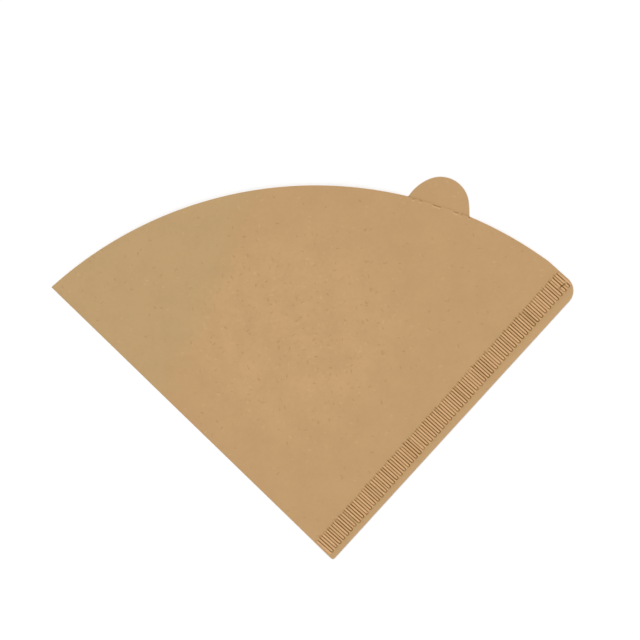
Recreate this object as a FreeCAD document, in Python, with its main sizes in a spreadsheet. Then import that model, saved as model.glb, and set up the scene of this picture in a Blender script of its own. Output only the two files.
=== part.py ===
import FreeCAD, Part
import math
import os
import Sketcher
from FreeCAD import Placement, Rotation, Vector

# Cone coffee filter of brown paper, lying flat with its front ply up.
# One sheet is folded over at the left, crimped shut along the right and cut round at the mouth.
# Frame: the folded edge and the seam edge meet at the origin, +Y runs up the middle between them
# to the mouth, and +Z points out of the front ply. The back ply lies on Z = 0.

SIZES = (
    ("paper", 0.15),  # thickness of the paper
    ("ply_gap", 0.06),  # space between the two plies where they are pressed together
    ("tip_angle", 88.29),  # angle between the folded edge and the seam edge
    ("fold_length", 131.5),  # tip to mouth along the folded edge
    ("seam_length", 123.6),  # tip to mouth's arc along the seam edge, before its corner is cut
    ("mouth_radius", 132.4),  # radius of the round mouth edge
    ("corner_radius", 5.36),  # rounded corner where the seam meets the mouth
    ("corner_angle", 89.5),  # angle at that corner, between the seam edge and the mouth edge
    ("shoulder_drop", 0.67),  # how far the mouth edge, straight beside that corner, has dropped
    ("tip_radius", 0.8),  # rounding of the tip
    ("swell", 0.9),  # how far the front ply stands off the back ply at the middle of the mouth
    ("pocket_nose", 1.2),  # height above the crimp at which the plies come apart
    ("tab_bearing", 20.13),  # direction of the tab from the mouth circle's centre, right of +Y
    ("tab_radius", 9.5),  # rounded top of the pull tab
    ("tab_rise", 0.17),  # height of that rounding's centre over the mouth edge
    ("tab_flare", 1.27),  # how much wider than its rounding the tab is at its foot, each side
    ("tab_skew", 0.38),  # how far the rounding is set to the right of the foot
    ("tab_foot_radius", 0.7),  # hollow corner between the tab and the mouth edge
    ("front_setback", 0.17),  # how far the front ply is cut back at the tab
    ("front_reach", 1.2),  # how far that cut runs on past each side of the tab
    ("crimp_margin", 1.64),  # plain margin outside the crimp, at the tip
    ("crimp_width", 6.53),  # length of the ribs, which is the width of the crimped band
    ("crimp_tilt", 0.64),  # angle by which the band turns in from the seam edge
    ("rib_start", 2.04),  # middle of the first rib, from the tip
    ("rib_stop", 1.0),  # least distance from the middle of the last rib to the seam's end
    ("rib_pitch", 1.918),  # distance from rib to rib
    ("rib_crown", 0.66),  # width of a rib's flat top
    ("rib_flank", 0.31),  # width of a rib's sloping side
    ("rib_end", 0.5),  # length of a rib's sloping end
    ("rib_rise", 0.45),  # height of the ribs
)

# Room for the edges that are cut last: the uncut sheet reaches past the finished one, and the
# cuts reach past the uncut sheet.
SPARE = 6.0
CUT_REACH = 8.0
BEYOND = 16.0
TAB_OVERLAP = 3.0
TAB_HEADROOM = 1.0
# Angle between the folded edge and the side of the cut that clears the sheet below the tip.
TIP_SLANT = 11

# Expressions in terms of the sheet's sizes that several features share.
HALF = "(sizes.tip_angle / 2)"
STACK = "(2 * sizes.paper + sizes.ply_gap)"
BAND_FOOT = "(sizes.crimp_margin + sizes.crimp_width)"
BAND_ANGLE = f"(90 - {HALF} + sizes.crimp_tilt)"
# Height above the tip at which the band's inner edge has left the fold and the pocket begins.
NOSE = (
    f"({BAND_FOOT} / (sin(sizes.tip_angle) - tan(sizes.crimp_tilt) * cos(sizes.tip_angle))"
    f" * cos({HALF}) + sizes.pocket_nose)"
)
# The mouth is an arc through the ends of the two edges: its chord, the distance from the chord
# to its centre, and the centre itself.
LONG_SUM = "(sizes.seam_length + sizes.fold_length)"
LONG_STEP = "(sizes.seam_length - sizes.fold_length)"
CHORD = f"sqrt(({LONG_SUM} * sin({HALF}))^2 + ({LONG_STEP} * cos({HALF}))^2)"
DROP = f"sqrt(sizes.mouth_radius^2 - ({CHORD})^2 / 4)"
CENTRE_X = f"({LONG_STEP} * sin({HALF}) / 2 + {DROP} * {LONG_STEP} * cos({HALF}) / {CHORD})"
CENTRE_Y = f"({LONG_SUM} * cos({HALF}) / 2 - {DROP} * {LONG_SUM} * sin({HALF}) / {CHORD})"
MOUTH_TOP = f"({CENTRE_Y} + sizes.mouth_radius)"
BLANK_FOOT = "(-1)"
BLANK_TOP = f"({MOUTH_TOP} + sizes.tab_radius + {SPARE})"
FAR_SIDE = f"({BLANK_TOP} * tan({HALF}) + {BEYOND})"
FAR_TOP = f"({BLANK_TOP} + {SPARE})"
RUN_OUT = f"(-sizes.fold_length * sin({HALF}) - {CUT_REACH})"
TAB_RIGHT = "(sizes.tab_radius + sizes.tab_flare - sizes.tab_skew)"
TAB_LEFT = "(sizes.tab_radius + sizes.tab_flare + sizes.tab_skew)"
TAB_TOP = f"(sizes.mouth_radius + sizes.tab_rise + sizes.tab_radius + {TAB_HEADROOM})"
TAB_ROOT = f"(sqrt(sizes.mouth_radius^2 - {TAB_LEFT}^2) - {TAB_OVERLAP})"
FRONT_RIGHT = f"({TAB_RIGHT} + sizes.front_reach)"
FRONT_LEFT = f"({TAB_LEFT} + sizes.front_reach)"


def make_sheet(doc):
    """Puts the driving sizes into a spreadsheet, one alias each."""
    sheet = doc.addObject("Spreadsheet::Sheet", "sizes")
    for row, (alias, value) in enumerate(SIZES, start=1):
        sheet.set(f"A{row}", str(value))
        sheet.setAlias(f"A{row}", alias)
    doc.recompute()


def origin_plane(body, role):
    """Finds one of the body's own base planes."""
    return next(item for item in body.Origin.OriginFeatures if item.Role == role)


def add_sketch(body, name, role, turn_axis=Vector(0, 0, 1), **offsets):
    """Adds a sketch on a base plane, with its offset from that plane tied to expressions."""
    sketch = body.newObject("Sketcher::SketchObject", name)
    sketch.AttachmentSupport = [(origin_plane(body, role), "")]
    sketch.MapMode = "FlatFace"
    # A turn of zero degrees would forget its axis, so a turn that is tied starts from one degree.
    start_turn = 1 if "turn" in offsets else 0
    sketch.AttachmentOffset = Placement(Vector(), Rotation(turn_axis, start_turn))
    paths = {"x": "Base.x", "y": "Base.y", "z": "Base.z", "turn": "Rotation.Angle"}
    for key, expression in offsets.items():
        sketch.setExpression("AttachmentOffset." + paths[key], expression)
    return sketch


def value_of(item, expression):
    """Works out an expression as a plain number."""
    result = item.evalExpression(expression)
    return float(getattr(result, "Value", result))


def point_at(item, across, up):
    """Point whose distances from the origin are given by expressions."""
    return Vector(value_of(item, across), value_of(item, up), 0)


def polar(centre, radius, direction):
    """Point at a distance and a direction, in degrees, from a centre."""
    angle = math.radians(direction)
    return centre + Vector(radius * math.cos(angle), radius * math.sin(angle), 0)


def bearing(start, end):
    """Direction from one point to another, in degrees."""
    return math.degrees(math.atan2(end.y - start.y, end.x - start.x))


def on_circle(centre, radius, across):
    """Point of a circle's upper half, at a distance across from the origin."""
    return Vector(across, centre.y + math.sqrt(radius ** 2 - (across - centre.x) ** 2), 0)


def far_hit(start, direction, centre, radius):
    """Point where a line, from inside a circle and in a direction in degrees, leaves it."""
    way = polar(Vector(), 1, direction)
    reach = centre - start
    along = reach.dot(way)
    return start + way * (along + math.sqrt(radius ** 2 - reach.dot(reach) + along ** 2))


def add_line(sketch, start, end, guide=False):
    """Draws a straight line, or a guide that bounds nothing."""
    return sketch.addGeometry(Part.LineSegment(start, end), guide)


def add_arc(sketch, centre, radius, first, last):
    """Draws an arc between two directions, in degrees, taken anticlockwise."""
    circle = Part.Circle(centre, Vector(0, 0, 1), radius)
    return sketch.addGeometry(Part.ArcOfCircle(circle, math.radians(first), math.radians(last)))


def bind(sketch, kind, name, expression, *elements):
    """Adds a dimension to a sketch and ties it to an expression."""
    start = value_of(sketch, expression)
    if kind == "Angle":
        start = math.radians(start)
    index = sketch.addConstraint(Sketcher.Constraint(kind, *elements, start))
    sketch.renameConstraint(index, name)
    sketch.setExpression("Constraints." + name, expression)


def pin(sketch, name, point, across=None, up=None):
    """Fixes a point's distances from the sketch's origin."""
    if across is not None:
        bind(sketch, "DistanceX", name + "_x", across, -1, 1, *point)
    if up is not None:
        bind(sketch, "DistanceY", name + "_y", up, -1, 1, *point)


def chain(sketch, links):
    """Joins ends of curves: each link is a pair of points, (curve, end), that coincide."""
    for first, second in links:
        sketch.addConstraint(Sketcher.Constraint("Coincident", *first, *second))


def level_or_upright(sketch, sides, first_kind):
    """Makes lines horizontal and vertical by turns."""
    other = {"Horizontal": "Vertical", "Vertical": "Horizontal"}
    kind = first_kind
    for side in sides:
        sketch.addConstraint(Sketcher.Constraint(kind, side))
        kind = other[kind]


def fold_line(height):
    """Place of the folded edge across the filter, at a height above the tip."""
    return f"(-({height}) * tan({HALF}))"


def fold_inset(height):
    """Place of the line where the plies run into the round of the fold."""
    return f"({fold_line(height)} + {STACK} / 2 / cos({HALF}))"


def right_line(height):
    """Place of the uncut right edge, outside the seam edge."""
    return f"(({height}) * tan({HALF}) + {SPARE})"


def band_line(height):
    """Place of the crimped band's inner edge, at a height above the tip."""
    foot_x = f"-{BAND_FOOT} * cos({HALF})"
    foot_y = f"{BAND_FOOT} * sin({HALF})"
    return f"({foot_x} + ({height} - {foot_y}) / tan({BAND_ANGLE}))"


def draw_loop(sketch, corners):
    """Draws a closed outline with straight sides through pairs of expressions."""
    points = [point_at(sketch, across, up) for across, up in corners]
    ends = points[1:] + points[:1]
    sides = [add_line(sketch, start, end) for start, end in zip(points, ends)]
    chain(sketch, [((one, 2), (two, 1)) for one, two in zip(sides, sides[1:] + sides[:1])])
    for side, (across, up) in zip(sides, corners):
        pin(sketch, f"corner_{side}", (side, 1), across, up)


def draw_box(sketch, left, right, low, high):
    """Draws a rectangle between four expressions."""
    corners = [(left, low), (right, low), (right, high), (left, high)]
    points = [point_at(sketch, across, up) for across, up in corners]
    sides = [add_line(sketch, points[i], points[(i + 1) % 4]) for i in range(4)]
    chain(sketch, [((sides[i], 2), (sides[(i + 1) % 4], 1)) for i in range(4)])
    level_or_upright(sketch, sides, "Horizontal")
    pin(sketch, "first", (sides[0], 1), left, low)
    pin(sketch, "last", (sides[2], 1), right, high)


def draw_arch(sketch, left, right, level, peak):
    """Draws a shallow arch between two points at one level, peak high at its middle."""
    middle = f"(({left} + {right}) / 2)"
    crest = f"({level} + 2 * {peak})"
    spots = ((right, level), (middle, crest), (left, level))
    poles = [point_at(sketch, across, up) for across, up in spots]
    arch = sketch.addGeometry(Part.BSplineCurve(poles, None, None, False, 2, None, False))
    sketch.exposeInternalGeometry(arch)
    pin(sketch, f"right_{arch}", (arch, 1), right, level)
    pin(sketch, f"crest_{arch}", (arch + 2, 3), middle, crest)
    pin(sketch, f"left_{arch}", (arch, 2), left, level)
    return arch, poles


def draw_front_section(body, name, height, peak):
    """Draws the front ply's cross-section at a height above the tip, arched by peak."""
    sketch = add_sketch(body, name, "XZ_Plane", z=f"-({height})")
    left, right = fold_inset(height), band_line(height)
    over, over_poles = draw_arch(sketch, left, right, STACK, peak)
    under, under_poles = draw_arch(sketch, left, right, f"({STACK} - sizes.paper)", peak)
    left_side = add_line(sketch, over_poles[2], under_poles[2])
    right_side = add_line(sketch, under_poles[0], over_poles[0])
    chain(sketch, [((over, 2), (left_side, 1)), ((left_side, 2), (under, 2))])
    chain(sketch, [((under, 1), (right_side, 1)), ((right_side, 2), (over, 1))])
    return sketch


def pad(body, name, sketch, length, reverse=False, refine=False):
    """Thickens a sketch into a plate."""
    feature = body.newObject("PartDesign::Pad", name)
    feature.Profile = sketch
    feature.Reversed = reverse
    feature.setExpression("Length", length)
    feature.Refine = refine


def pocket(body, name, sketch):
    """Adds a cut whose outline is a sketch."""
    cut = body.newObject("PartDesign::Pocket", name)
    cut.Profile = sketch
    cut.Refine = False
    return cut


def add_back_ply(body):
    """The back ply: a flat sheet from the fold to beyond the seam edge."""
    sketch = add_sketch(body, "BackPlan", "XY_Plane")
    draw_loop(
        sketch,
        [
            (fold_inset(BLANK_FOOT), BLANK_FOOT),
            (right_line(BLANK_FOOT), BLANK_FOOT),
            (right_line(BLANK_TOP), BLANK_TOP),
            (fold_inset(BLANK_TOP), BLANK_TOP),
        ],
    )
    pad(body, "BackPly", sketch, "sizes.paper")


def add_band(body):
    """The plies pressed into one, along the seam and at the tip below the pocket."""
    sketch = add_sketch(body, "BandPlan", "XY_Plane")
    draw_loop(
        sketch,
        [
            (fold_inset(BLANK_FOOT), BLANK_FOOT),
            (right_line(BLANK_FOOT), BLANK_FOOT),
            (right_line(BLANK_TOP), BLANK_TOP),
            (band_line(BLANK_TOP), BLANK_TOP),
            (band_line(NOSE), NOSE),
            (fold_inset(NOSE), NOSE),
        ],
    )
    pad(body, "Band", sketch, STACK)


def add_fold(body):
    """The fold that joins the plies: a half-round edge along the left side."""
    sketch = add_sketch(body, "FoldSection", "XZ_Plane", Vector(0, 1, 0), turn=HALF)
    radius = value_of(sketch, f"({STACK} / 2)")
    centre = Vector(radius, radius, 0)
    turn = add_arc(sketch, centre, radius, 90, 270)
    side = add_line(sketch, polar(centre, radius, 270), polar(centre, radius, 90))
    chain(sketch, [((turn, 2), (side, 1)), ((side, 2), (turn, 1))])
    sketch.addConstraint(Sketcher.Constraint("Vertical", side))
    sketch.addConstraint(Sketcher.Constraint("PointOnObject", turn, 3, side))
    bind(sketch, "Radius", "fold_radius", f"({STACK} / 2)", turn)
    pin(sketch, "fold_foot", (side, 1), f"({STACK} / 2)", "0")
    pad(body, "Fold", sketch, f"({BLANK_TOP} / cos({HALF}))", reverse=True)


def add_front_ply(body):
    """The front ply: it leaves the fold and the band and arches over the pocket."""
    top_peak = f"(sizes.swell * ({BLANK_TOP} - {NOSE}) / ({MOUTH_TOP} - {NOSE}))"
    nose = draw_front_section(body, "FrontNose", NOSE, "(0)")
    mouth = draw_front_section(body, "FrontMouth", BLANK_TOP, top_peak)
    feature = body.newObject("PartDesign::AdditiveLoft", "FrontPly")
    feature.Profile = nose
    feature.Sections = [mouth]
    feature.Ruled = True
    feature.Refine = False


def split_margin(body):
    """Parts the two plies in the plain margin outside the crimp.

    Its sketch is returned: the sketch's X axis runs along the crimped band's outer edge.
    """
    sketch = add_sketch(
        body,
        "MarginSpace",
        "XY_Plane",
        x=f"-sizes.crimp_margin * cos({HALF})",
        y=f"sizes.crimp_margin * sin({HALF})",
        z="sizes.paper",
        turn=BAND_ANGLE,
    )
    draw_box(sketch, f"-{BEYOND}", f"{BLANK_TOP} / cos({HALF})", f"-{BEYOND}", "0")
    cut = pocket(body, "Margin", sketch)
    cut.Reversed = True
    cut.setExpression("Length", "sizes.ply_gap")
    return sketch


def add_wedge(body, kind, name, support, spread, inset, level):
    """A bar across the band with sloping sides and ends, standing on a level of the band.

    The wedge's own X runs along the band, its Y upwards and its -Z across the band.
    """
    wedge = body.newObject("PartDesign::" + kind, name)
    wedge.AttachmentSupport = [(support, "")]
    wedge.MapMode = "ObjectXY"
    wedge.AttachmentOffset = Placement(Vector(), Rotation(Vector(1, 0, 0), 90))
    wedge.setExpression("AttachmentOffset.Base.x", "sizes.rib_start")
    wedge.setExpression("AttachmentOffset.Base.z", f"{level} - sizes.paper")
    wedge.Ymin = 0
    sizes = {
        "Ymax": "sizes.rib_rise",
        "Xmin": f"-{spread}",
        "Xmax": spread,
        "X2min": f"-({spread} - sizes.rib_flank)",
        "X2max": f"({spread} - sizes.rib_flank)",
        "Zmin": f"-(sizes.crimp_width - {inset})",
        "Zmax": f"-{inset}",
        "Z2min": f"-(sizes.crimp_width - {inset} - sizes.rib_end)",
        "Z2max": f"-({inset} + sizes.rib_end)",
    }
    for path, expression in sizes.items():
        wedge.setExpression(path, expression)
    wedge.Refine = False
    return wedge


def repeat_along_band(body, feature, axis):
    """Repeats a rib or its hollow along the whole seam."""
    row = body.newObject("PartDesign::LinearPattern", feature.Name + "Row")
    row.Originals = [feature]
    row.Direction = (axis, ["H_Axis"])
    row.Mode = "Spacing"
    row.setExpression("Offset", "sizes.rib_pitch")
    row.setExpression(
        "Occurrences",
        "floor((sizes.seam_length - sizes.rib_start - sizes.rib_stop) / sizes.rib_pitch) + 1",
    )
    row.Refine = False
    body.Tip = row


def press_ribs(body, support):
    """Presses the row of ribs that holds the seam: raised in front and hollow behind."""
    steep = "(atan(sizes.rib_rise / sizes.rib_flank) / 2)"
    gentle = "(atan(sizes.rib_rise / sizes.rib_end) / 2)"
    foot = "(sizes.rib_crown / 2 + sizes.rib_flank)"
    # The hollow's faces lie one wall inside the rib's faces, so it is narrower and shorter.
    hollow_foot = f"({foot} - {STACK} * tan({steep}))"
    hollow_end = f"({STACK} * tan({gentle}))"
    rib = add_wedge(body, "AdditiveWedge", "Rib", support, foot, "0", STACK)
    repeat_along_band(body, rib, support)
    hollow = add_wedge(body, "SubtractiveWedge", "Hollow", support, hollow_foot, hollow_end, "0")
    repeat_along_band(body, hollow, support)


def cut_outline(body):
    """Cuts the seam edge, the tip and the mouth through both plies."""
    sketch = add_sketch(body, "Outline", "XY_Plane")
    size = dict(SIZES)
    half = size["tip_angle"] / 2
    seam_way, fold_way = 90 - half, 90 + half
    seam_out = seam_way - 90
    slant_way = fold_way + TIP_SLANT
    origin = Vector()
    mouth = point_at(sketch, CENTRE_X, CENTRE_Y)
    mouth_radius, tip_radius = size["mouth_radius"], size["tip_radius"]
    corner_radius = size["corner_radius"]
    fold_end = polar(origin, size["fold_length"], fold_way)
    seam_end = polar(origin, size["seam_length"], seam_way)
    far, top = value_of(sketch, FAR_SIDE), value_of(sketch, FAR_TOP)
    run_out = on_circle(mouth, mouth_radius, value_of(sketch, RUN_OUT))
    tip_centre = Vector(0, tip_radius / math.sin(math.radians(half)), 0)
    tip_end = polar(tip_centre, tip_radius, slant_way + 90)
    way_out = polar(tip_end, CUT_REACH, slant_way)
    # The mouth edge runs straight for its last stretch, the shoulder, before the rounded corner.
    shoulder_foot = polar(origin, size["seam_length"] - size["shoulder_drop"], seam_way)
    shoulder_way = seam_way + 180 - size["corner_angle"]
    shoulder_end = far_hit(shoulder_foot, shoulder_way, mouth, mouth_radius)
    corner_inset = corner_radius / math.tan(math.radians(size["corner_angle"] / 2))
    corner_start = polar(shoulder_foot, -corner_inset, seam_way)
    corner = polar(corner_start, -corner_radius, seam_out)
    corner_end = polar(shoulder_foot, corner_inset, shoulder_way)

    seam = add_line(sketch, polar(tip_centre, tip_radius, seam_out), corner_start)
    turn = add_arc(sketch, corner, corner_radius, seam_out, shoulder_way - 90)
    shoulder = add_line(sketch, corner_end, shoulder_end)
    rim_ways = bearing(mouth, shoulder_end), bearing(mouth, run_out)
    rim = add_arc(sketch, mouth, mouth_radius, *rim_ways)
    posts = [
        run_out,
        Vector(-far, run_out.y, 0),
        Vector(-far, top, 0),
        Vector(far, top, 0),
        Vector(far, -CUT_REACH, 0),
        Vector(way_out.x, -CUT_REACH, 0),
        way_out,
        tip_end,
    ]
    fence = [add_line(sketch, start, end) for start, end in zip(posts, posts[1:])]
    tip = add_arc(sketch, tip_centre, tip_radius, slant_way + 90, seam_way + 270)
    fold_guide = add_line(sketch, origin, fold_end, True)
    seam_guide = add_line(sketch, origin, seam_end, True)
    foot_mark = sketch.addGeometry(Part.Point(shoulder_foot), True)

    chain(sketch, [((fold_guide, 1), (-1, 1)), ((seam_guide, 1), (-1, 1))])
    chain(sketch, [((shoulder, 2), (rim, 1)), ((rim, 2), (fence[0], 1))])
    chain(sketch, [((start, 2), (end, 1)) for start, end in zip(fence, fence[1:])])
    bind(sketch, "Angle", "fold_way", f"90 + {HALF}", fold_guide)
    bind(sketch, "Angle", "seam_way", f"90 - {HALF}", seam_guide)
    bind(sketch, "Distance", "fold_length", "sizes.fold_length", fold_guide)
    bind(sketch, "Distance", "seam_length", "sizes.seam_length", seam_guide)
    bind(sketch, "Radius", "mouth_radius", "sizes.mouth_radius", rim)
    bind(sketch, "Radius", "corner_radius", "sizes.corner_radius", turn)
    bind(sketch, "Radius", "tip_radius", "sizes.tip_radius", tip)
    for guide in (fold_guide, seam_guide):
        sketch.addConstraint(Sketcher.Constraint("PointOnObject", guide, 2, rim))
    for end in (1, 2):
        sketch.addConstraint(Sketcher.Constraint("PointOnObject", seam, end, seam_guide))
    sketch.addConstraint(Sketcher.Constraint("PointOnObject", tip, 3, -2))
    sketch.addConstraint(Sketcher.Constraint("Tangent", seam, 2, turn, 1))
    sketch.addConstraint(Sketcher.Constraint("Tangent", turn, 2, shoulder, 1))
    sketch.addConstraint(Sketcher.Constraint("PointOnObject", foot_mark, 1, seam_guide))
    sketch.addConstraint(Sketcher.Constraint("PointOnObject", foot_mark, 1, shoulder))
    foot_length = "sizes.seam_length - sizes.shoulder_drop"
    bind(sketch, "Distance", "shoulder_foot", foot_length, -1, 1, foot_mark, 1)
    bind(sketch, "Angle", "shoulder_way", f"270 - {HALF} - sizes.corner_angle", shoulder)
    sketch.addConstraint(Sketcher.Constraint("Tangent", tip, 2, seam, 1))
    sketch.addConstraint(Sketcher.Constraint("Tangent", fence[-1], 2, tip, 1))
    level_or_upright(sketch, fence[:-1], "Horizontal")
    pin(sketch, "run_out", (rim, 2), RUN_OUT)
    pin(sketch, "far_left", (fence[1], 2), f"-{FAR_SIDE}", FAR_TOP)
    pin(sketch, "far_right", (fence[3], 2), FAR_SIDE, f"-{CUT_REACH}")
    bind(sketch, "Angle", "slant_way", f"{TIP_SLANT} - 90 + {HALF}", fence[-1])
    bind(sketch, "Distance", "slant_length", f"{CUT_REACH}", fence[-1])
    cut = pocket(body, "Trim", sketch)
    cut.Type = "ThroughAll"
    cut.SideType = "Symmetric"


def tab_sketch(body, name, level):
    """Adds a level sketch centred on the mouth circle, with its Y axis through the tab."""
    return add_sketch(
        body, name, "XY_Plane", x=CENTRE_X, y=CENTRE_Y, z=level, turn="-sizes.tab_bearing"
    )


def cut_front_ply(body):
    """Cuts the front ply back to a clean edge across the foot of the tab."""
    sketch = tab_sketch(body, "FrontEdge", "sizes.paper + sizes.ply_gap / 2")
    size = dict(SIZES)
    centre = Vector()
    radius = size["mouth_radius"] - size["front_setback"]
    right_end, left_end = value_of(sketch, FRONT_RIGHT), value_of(sketch, FRONT_LEFT)
    top = value_of(sketch, TAB_TOP)
    ends = [on_circle(centre, radius, across) for across in (right_end, -left_end)]
    edge = add_arc(sketch, centre, radius, bearing(centre, ends[0]), bearing(centre, ends[1]))
    posts = [ends[1], Vector(-left_end, top, 0), Vector(right_end, top, 0), ends[0]]
    fence = [add_line(sketch, start, end) for start, end in zip(posts, posts[1:])]
    sides = [edge] + fence
    chain(sketch, [((one, 2), (two, 1)) for one, two in zip(sides, sides[1:] + sides[:1])])
    chain(sketch, [((edge, 3), (-1, 1))])
    level_or_upright(sketch, fence, "Vertical")
    bind(sketch, "Radius", "front_radius", "sizes.mouth_radius - sizes.front_setback", edge)
    pin(sketch, "left_end", (fence[0], 2), f"-{FRONT_LEFT}", TAB_TOP)
    pin(sketch, "right_end", (fence[2], 2), FRONT_RIGHT)
    cut = pocket(body, "FrontCut", sketch)
    cut.Reversed = True
    cut.Type = "ThroughAll"


def add_tab(body):
    """Adds the pull tab, which is one with the back ply."""
    sketch = tab_sketch(body, "TabOutline", "0")
    size = dict(SIZES)
    dome_radius = size["tab_radius"]
    knob = Vector(0, size["mouth_radius"] + size["tab_rise"], 0)
    root = value_of(sketch, TAB_ROOT)
    right_reach, left_reach = value_of(sketch, TAB_RIGHT), value_of(sketch, TAB_LEFT)
    first = math.degrees(math.acos(dome_radius / right_reach))
    last = 180 - math.degrees(math.acos(dome_radius / left_reach))
    dome = add_arc(sketch, knob, dome_radius, first, last)
    right = add_line(sketch, Vector(right_reach, root, 0), polar(knob, dome_radius, first))
    left = add_line(sketch, polar(knob, dome_radius, last), Vector(-left_reach, root, 0))
    base = add_line(sketch, Vector(-left_reach, root, 0), Vector(right_reach, root, 0))
    chain(sketch, [((left, 2), (base, 1)), ((base, 2), (right, 1))])
    sketch.addConstraint(Sketcher.Constraint("Tangent", right, 2, dome, 1))
    sketch.addConstraint(Sketcher.Constraint("Tangent", dome, 2, left, 1))
    sketch.addConstraint(Sketcher.Constraint("Horizontal", base))
    sketch.addConstraint(Sketcher.Constraint("PointOnObject", dome, 3, -2))
    bind(sketch, "Radius", "tab_radius", "sizes.tab_radius", dome)
    pin(sketch, "knob", (dome, 3), up="sizes.mouth_radius + sizes.tab_rise")
    pin(sketch, "root", (base, 1), up=TAB_ROOT)
    # Each side of the tab passes through a mark on the mouth edge.
    marks = (("right_foot", right, TAB_RIGHT), ("left_foot", left, f"-{TAB_LEFT}"))
    for name, flank, reach in marks:
        rise = f"sqrt(sizes.mouth_radius^2 - ({reach})^2)"
        mark = sketch.addGeometry(Part.Point(point_at(sketch, reach, rise)), True)
        pin(sketch, name, (mark, 1), reach, rise)
        sketch.addConstraint(Sketcher.Constraint("PointOnObject", mark, 1, flank))
    pad(body, "Tab", sketch, "sizes.paper", refine=True)


def is_upright(edge):
    """Tells whether an edge runs straight up through the paper."""
    return abs(edge.tangentAt(edge.FirstParameter).z) > 0.99


def round_tab_feet(doc, body):
    """Rounds the two hollow corners between the tab and the mouth edge."""
    doc.recompute()
    tab = body.Tip
    frame = doc.getObject("TabOutline").Placement
    reaches = (value_of(tab, TAB_RIGHT), -value_of(tab, TAB_LEFT))
    radius = dict(SIZES)["mouth_radius"]
    feet = [frame.multVec(on_circle(Vector(), radius, across)) for across in reaches]
    nearness = 0.01
    edges = []
    for number, edge in enumerate(tab.Shape.Edges, start=1):
        middle = Vector(edge.CenterOfMass.x, edge.CenterOfMass.y, 0)
        if is_upright(edge) and min((middle - foot).Length for foot in feet) < nearness:
            edges.append(f"Edge{number}")
    fillet = body.newObject("PartDesign::Fillet", "TabFeet")
    fillet.Base = (tab, edges)
    fillet.setExpression("Radius", "sizes.tab_foot_radius")
    fillet.Refine = False


def check(doc, body):
    """Stops if any object failed to compute or the part isn't one valid solid."""
    for item in doc.Objects:
        if "Invalid" in item.State or "Error" in item.State:
            raise RuntimeError(f"{item.Name} failed: {item.getStatusString()}")
    shape = body.Shape
    if shape.isNull() or not shape.isValid() or len(shape.Solids) != 1:
        raise RuntimeError(f"{body.Label} isn't one valid solid")


def main():
    """Builds the filter, sets it in its frame and writes it as a STEP file."""
    doc = FreeCAD.newDocument("coffee_filter")
    make_sheet(doc)
    body = doc.addObject("PartDesign::Body", "filter_sheet")
    body.Label = "filter_sheet"
    add_back_ply(body)
    add_band(body)
    add_fold(body)
    add_front_ply(body)
    crimp_frame = split_margin(body)
    press_ribs(body, crimp_frame)
    cut_outline(body)
    cut_front_ply(body)
    add_tab(body)
    round_tab_feet(doc, body)
    doc.recompute()
    check(doc, body)
    # The finished part's origin is the middle of its bounding box, on the back ply's plane.
    box = body.Shape.optimalBoundingBox(False, False)
    body.Placement = Placement(Vector(-box.Center.x, -box.Center.y, 0), Rotation())
    doc.recompute()
    check(doc, body)
    os.makedirs("parts", exist_ok=True)
    body.Shape.exportStep("parts/filter_sheet.step")


main()
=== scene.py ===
"""A flat-folded cone coffee filter of brown paper, on a plain white stage.

The filter is one folded sheet. It is drawn flat in plan first, in millimetres, with the tip at
the origin and +Y up the middle to the mouth, and then raised into its two plies and its crimp.
"""

import math

import bmesh
import bpy
import numpy as np
from bpy.props import FloatProperty, FloatVectorProperty, IntProperty, PointerProperty
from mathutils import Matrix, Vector, geometry, noise


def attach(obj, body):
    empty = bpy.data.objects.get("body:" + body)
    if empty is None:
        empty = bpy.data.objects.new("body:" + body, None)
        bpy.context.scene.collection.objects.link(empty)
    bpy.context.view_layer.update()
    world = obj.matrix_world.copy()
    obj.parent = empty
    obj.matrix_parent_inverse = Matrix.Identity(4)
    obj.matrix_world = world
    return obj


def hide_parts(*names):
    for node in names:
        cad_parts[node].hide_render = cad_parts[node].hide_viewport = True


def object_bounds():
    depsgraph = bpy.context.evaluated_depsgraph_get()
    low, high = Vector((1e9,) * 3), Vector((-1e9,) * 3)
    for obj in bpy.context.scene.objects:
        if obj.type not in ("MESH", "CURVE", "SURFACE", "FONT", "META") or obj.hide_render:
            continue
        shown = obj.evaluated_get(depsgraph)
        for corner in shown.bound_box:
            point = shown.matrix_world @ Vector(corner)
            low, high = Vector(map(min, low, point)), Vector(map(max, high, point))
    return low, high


bl_info = {
    "name": "Paper Coffee Filter",
    "version": (1, 0, 0),
    "blender": (4, 5, 0),
    "location": "View3D > Sidebar > Filter",
    "description": "Makes a flat-folded, crimped paper coffee filter and the stage it lies on",
    "category": "Object",
}

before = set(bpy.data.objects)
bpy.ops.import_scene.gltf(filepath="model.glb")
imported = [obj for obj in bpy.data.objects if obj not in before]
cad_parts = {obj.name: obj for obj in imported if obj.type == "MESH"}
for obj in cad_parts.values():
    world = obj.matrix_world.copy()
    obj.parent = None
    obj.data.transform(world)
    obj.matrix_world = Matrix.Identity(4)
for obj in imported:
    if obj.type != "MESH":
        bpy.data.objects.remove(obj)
frame_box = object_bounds()

MM = 0.001
QUARTER = math.pi / 2
WHITE = (1, 1, 1, 1)
PIECE_NAME = "folded_sheet"
# Values kept at each vertex for the paper's material.
FINISHES = ("crimp", "tear", "lining", "front")
# Edges that turn by more than this are drawn sharp.
SHARP = math.radians(70)

# Tears left in the front ply's edge where it was cut free of the tab: where each one starts and
# ends along the mouth, in millimetres right of the tab's middle, and how deep it bites.
TEARS = (
    (-13.9, -13.5, 0.10),
    (-9.8, -8.7, 0.10),
    (-7.1, -6.2, 0.14),
    (-2.4, 0.4, 0.24),
    (4.9, 6.6, 0.13),
    (7.5, 8.0, 0.18),
    (10.2, 10.8, 0.12),
)
# How far the close points along that cut reach to each side, in millimetres.
CUT_REACH = 15
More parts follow.
